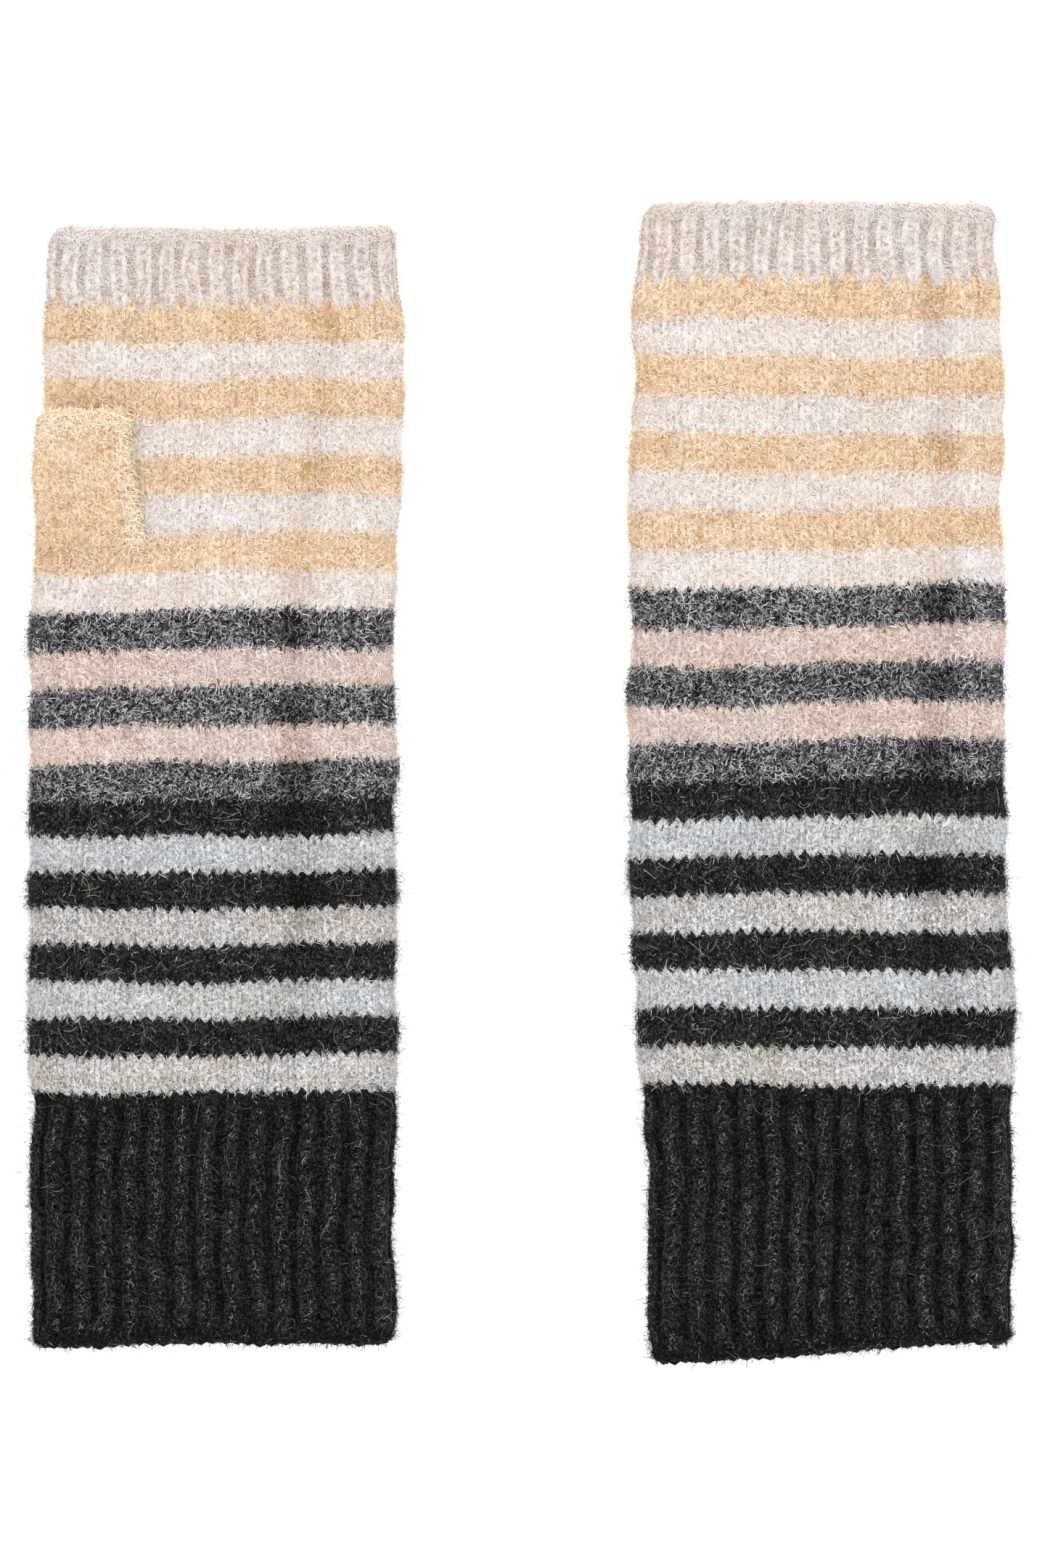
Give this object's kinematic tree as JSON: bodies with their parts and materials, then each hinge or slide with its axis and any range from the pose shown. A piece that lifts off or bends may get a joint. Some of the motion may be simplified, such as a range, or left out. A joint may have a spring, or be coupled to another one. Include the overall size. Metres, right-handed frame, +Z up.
{
  "type": "fingerless gloves",
  "caption": "Pair of long striped knitted fingerless gloves laid flat, each a soft tube with ribbed cuff, ribbed finger opening, short thumb tube and a fold at the wrist.",
  "frame": {"origin": "centre of the pair's footprint, on the surface it lies on", "axes": "+X across the pair towards the right glove, +Y from the cuffs to the finger openings, +Z up out of the surface; the left glove lies palm up and the right glove palm down"},
  "size_m": [0.274, 0.319, 0.0213],
  "materials": {
    "charcoal_wool": "fuzzy ribbed knit",
    "black_wool": "fuzzy stockinette knit with pale curled fibres",
    "light_grey_wool": "fuzzy stockinette knit",
    "oatmeal_wool": "fuzzy stockinette knit with fine golden fibres",
    "heather_grey_wool": "fuzzy mottled stockinette knit",
    "pink_wool": "fuzzy stockinette knit",
    "cream_wool": "fuzzy stockinette knit",
    "tan_wool": "fuzzy stockinette knit",
    "rib_cream_wool": "fuzzy ribbed knit",
    "seam_yarn": "linked side seam"
  },
  "bodies": {
    "left_forearm": {"left_cuff_rib": "charcoal_wool", "left_stripe_01_oatmeal": "oatmeal_wool", "left_stripe_02_black": "black_wool", "left_stripe_03_light_grey": "light_grey_wool", "left_stripe_04_black": "black_wool", "left_stripe_05_oatmeal": "oatmeal_wool", "left_stripe_06_black": "black_wool", "left_stripe_07_light_grey": "light_grey_wool", "left_stripe_08_black": "black_wool", "left_stripe_09_heather_grey": "heather_grey_wool", "left_stripe_10_pink": "pink_wool", "left_forearm_side_seam": "seam_yarn"},
    "left_hand": {"left_stripe_11_heather_grey": "heather_grey_wool", "left_stripe_12_pink": "pink_wool", "left_stripe_13_heather_grey": "heather_grey_wool", "left_stripe_14_cream": "cream_wool", "left_stripe_15_tan": "tan_wool", "left_stripe_16_cream": "cream_wool", "left_stripe_17_tan": "tan_wool", "left_stripe_18_cream": "cream_wool", "left_stripe_19_tan": "tan_wool", "left_stripe_20_cream": "cream_wool", "left_stripe_21_tan": "tan_wool", "left_finger_rib": "rib_cream_wool", "left_hand_side_seam": "seam_yarn"},
    "left_thumb": {"left_thumb_tube": "tan_wool"},
    "right_forearm": {"right_cuff_rib": "charcoal_wool", "right_stripe_01_oatmeal": "oatmeal_wool", "right_stripe_02_black": "black_wool", "right_stripe_03_light_grey": "light_grey_wool", "right_stripe_04_black": "black_wool", "right_stripe_05_oatmeal": "oatmeal_wool", "right_stripe_06_black": "black_wool", "right_stripe_07_light_grey": "light_grey_wool", "right_stripe_08_black": "black_wool", "right_stripe_09_heather_grey": "heather_grey_wool", "right_stripe_10_pink": "pink_wool", "right_forearm_side_seam": "seam_yarn"},
    "right_hand": {"right_stripe_11_heather_grey": "heather_grey_wool", "right_stripe_12_pink": "pink_wool", "right_stripe_13_heather_grey": "heather_grey_wool", "right_stripe_14_cream": "cream_wool", "right_stripe_15_tan": "tan_wool", "right_stripe_16_cream": "cream_wool", "right_stripe_17_tan": "tan_wool", "right_stripe_18_cream": "cream_wool", "right_stripe_19_tan": "tan_wool", "right_stripe_20_cream": "cream_wool", "right_stripe_21_tan": "tan_wool", "right_finger_rib": "rib_cream_wool", "right_hand_side_seam": "seam_yarn"},
    "right_thumb": {"right_thumb_tube": "tan_wool"}
  },
  "joints": [
    {"name": "left_wrist_fold", "type": "hinge", "parent": "left_forearm", "child": "left_hand", "pos_m": [-0.0856, 0.01782, 0.0116], "axis": [1, 0, 0], "range_deg": [0, 90]},
    {"name": "left_thumb_swing", "type": "hinge", "parent": "left_hand", "child": "left_thumb", "pos_m": [-0.12101, 0.06434, 0.0166], "axis": [0, 0, 1], "range_deg": [0, 45]},
    {"name": "right_wrist_fold", "type": "hinge", "parent": "right_forearm", "child": "right_hand", "pos_m": [0.08137, 0.02192, 0.0116], "axis": [1, 0, 0], "range_deg": [0, 90]},
    {"name": "right_thumb_swing", "type": "hinge", "parent": "right_hand", "child": "right_thumb", "pos_m": [0.04389, 0.06936, 0.0047], "axis": [0, 0, 1], "range_deg": [0, 45]},
    {"name": "right_glove_lift", "type": "slide", "parent": "left_forearm", "child": "right_forearm", "axis": [0, 0, 1], "range_m": [0, 0.12]}
  ]
}
